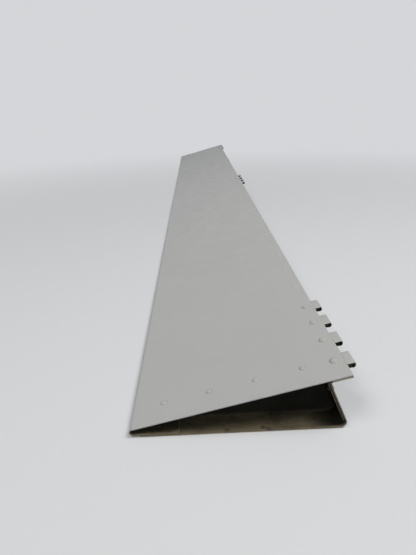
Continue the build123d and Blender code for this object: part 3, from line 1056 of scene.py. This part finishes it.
# %% Three segments
LEAF_STEP = 3 * MM
LEAF_STATIONS = 10 * MM
leaf_ends = np.array([on_face(TOP_FACE, along, WEB_DEPTH) for along in (0.0, LEAF_WIDTH)])
leaf_path = refined(leaf_ends, LEAF_STEP)


def hinge_segment(node):
    """One flat leaf under the spar's flange, and its four knuckles in one mesh."""
    low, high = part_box(node)
    leaf = folded_sheet(node + "_machined", leaf_path, LEAF, low.y, high.y,
                        [hinge_paint, inside_primer_shaded, cut_edge, cut_edge], LEAF_STATIONS)
    count = 1 + round((high.y - low.y - KNUCKLE) / HINGE_PITCH)
    made = [knuckle_grid(low.y + i * HINGE_PITCH) for i in range(count)]
    size = len(made[0][0])
    vertices = np.concatenate([points for points, _, _ in made])
    quads = np.concatenate([faces + i * size for i, (_, faces, _) in enumerate(made)])
    dirty = np.concatenate([flags for _, _, flags in made])
    # Ends dark with grease and painted shade, but the far segment's take the soiled rim white.
    end_finish = rim_paint if node == "far_hinge_leaf" else knuckle_end_grease_and_shade
    knuckles = mesh_piece(node + "_knuckles", vertices, quads, [hinge_paint, end_finish], dirty)
    for piece in (leaf, knuckles):
        carry(piece, node)


for node in ("near_hinge_leaf", "middle_hinge_leaf", "far_hinge_leaf"):
    hinge_segment(node)

# %% [markdown]
# ## Ribs
# The pressed end ribs have the right shape already, so the CAD nodes stay and only take the
# primer. They are the walls that one sees inside either open end.

# %% Rib finish
for node in ("near_end_rib", "far_end_rib"):
    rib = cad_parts[node]
    rib.data.materials.clear()
    rib.data.materials.append(inside_primer_shaded)
print("ribs primed")

# %% [markdown]
# ## Floor, light and camera
# A pale floor sits just under the lowest rivet heads, which are what the tab rests on. Round the
# near end it is a plain matt surface that takes the shadow; further out it fades into the same
# even tone as the world behind it, so no horizon shows. To light that falls on the tab the floor
# is darker than it looks, because the real tab lay over a dark ground that threw little back.

# %% Even tones for what is seen
BACKGROUND = (0.66, 0.67, 0.69, 1.0)


def seen_share(tree):
    """1 for the rays that see the background: camera, glossy and transmission; 0 for light."""
    rays = add_node(tree, "ShaderNodeLightPath").outputs
    seen = combine(tree, "MAXIMUM", rays["Is Camera Ray"], rays["Is Glossy Ray"])
    return combine(tree, "MAXIMUM", seen, rays["Is Transmission Ray"])


def blend_shaders(tree, share, first, second, end):
    """A mix of two shaders, the second with the given share, on the end node's surface."""
    blend = add_node(tree, "ShaderNodeMixShader", Fac=share)
    put(tree, blend.inputs[1], first)
    put(tree, blend.inputs[2], second)
    feed(tree, tree.nodes[end], Surface=blend.outputs["Shader"])


# %% Floor finish
FLOOR_SEEN = (0.8, 0.81, 0.83, 1.0)
FLOOR_LIT = (0.2, 0.2, 0.21, 1.0)
EVEN_SHARE = 0.1
EVEN_FROM, EVEN_TO = 0.2, 1.5
TO_NEAR_END = (0.0, 0.6, 0.0)


def floor_finish():
    """Matt grey that shows pale to the camera and to gloss, and fades out to an even tone."""
    material, tree, shader = material_with("pale_studio_floor")
    seen = seen_share(tree)
    feed(tree, shader, Base_Color=mix_colour(tree, seen, FLOOR_LIT, FLOOR_SEEN),
         Roughness=1.0, Specular_IOR_Level=0.0)
    from_near_end = add_node(tree, "ShaderNodeMapping", Vector=object_place(tree),
                             Location=TO_NEAR_END)
    distance = add_node(tree, "ShaderNodeVectorMath", operation="LENGTH",
                        Vector=from_near_end.outputs["Vector"])
    evened = remap(tree, distance.outputs["Value"], EVEN_FROM, EVEN_TO, EVEN_SHARE, 1.0)
    glow = add_node(tree, "ShaderNodeEmission", Color=BACKGROUND, Strength=1.0)
    blend_shaders(tree, combine(tree, "MULTIPLY", evened, seen), shader.outputs["BSDF"],
                  glow.outputs["Emission"], "Material Output")
    return material


# %% Floor
part_low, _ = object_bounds()
rings = np.array([0.0, 0.5, 1.5, 3.0, 5.0])[:, None]
turn = np.linspace(0, 2 * math.pi, 49)[:-1]
level = np.full((len(rings), len(turn)), part_low.z)
floor_points = np.stack([rings * np.cos(turn), rings * np.sin(turn), level], axis=-1)
floor_quads = grid_quads(len(rings), len(turn), wrap_columns=True)
floor = mesh_piece("studio_floor", floor_points.reshape(-1, 3), floor_quads, [floor_finish()],
                   closed=False)
print("floor at z", round(part_low.z, 5))

# %% Lamps and sky
WARM_WHITE = (1.0, 0.985, 0.955)
PLAIN_WHITE = (1.0, 1.0, 1.0)
SKY_BLUE = (0.84, 0.92, 1.0, 1.0)
SKY_STRENGTH = 0.13
MIDDLE = (0.0, -0.5, 0.0)
NEAR_END = (0.0, -0.6, 0.0)


def soft_lamp(name, place, target, size, power, colour):
    """A square area lamp that looks at a target."""
    lamp = bpy.data.lights.new(name, "AREA")
    lamp.size = size
    lamp.energy = power
    lamp.color = colour
    thing = bpy.data.objects.new(name, lamp)
    thing.location = place
    thing.rotation_mode = "QUATERNION"
    thing.rotation_quaternion = (Vector(target) - Vector(place)).to_track_quat("-Z", "Y")
    bpy.context.scene.collection.objects.link(thing)


soft_lamp("key_lamp", (0.7, -0.8, 1.6), MIDDLE, 0.9, 17.3, WARM_WHITE)
soft_lamp("fill_lamp", (-1.0, -1.2, 2.0), MIDDLE, 0.9, 14.4, WARM_WHITE)
soft_lamp("front_lamp", (-0.3, -2.4, 0.9), NEAR_END, 0.8, 4.5, PLAIN_WHITE)
sky = bpy.data.worlds.new("soft_sky")
bpy.context.scene.world = sky
sky.use_nodes = True
air = sky.node_tree
sky_light = air.nodes["Background"]
feed(air, sky_light, Color=SKY_BLUE, Strength=SKY_STRENGTH)
sky_seen = add_node(air, "ShaderNodeBackground", Color=BACKGROUND, Strength=1.0)
blend_shaders(air, seen_share(air), sky_light.outputs["Background"],
              sky_seen.outputs["Background"], "World Output")
bpy.context.scene.view_settings.view_transform = "Standard"
print("lamps placed")

# %% [markdown]
# ### The camera
# The camera's place was solved from the tab's four corners in the photograph. It stands close to
# the near end, aft of the hinge line and above, which is what makes the far end look so small.

# %% Camera
CAMERA_PLACE = (-0.093935, -0.88057, 0.157189)
CAMERA_TURN = [math.radians(angle) for angle in (66.963, 1.633, -1.909)]
LENS = 27.54
camera_data = bpy.data.cameras.new("photo_camera")
camera_data.lens = LENS
camera_data.sensor_width = 36.0
camera_data.clip_start = 0.01
camera_data.clip_end = 60.0
camera = bpy.data.objects.new("photo_camera", camera_data)
camera.location = CAMERA_PLACE
camera.rotation_euler = CAMERA_TURN
bpy.context.scene.collection.objects.link(camera)
bpy.context.scene.camera = camera
print("camera at", CAMERA_PLACE)
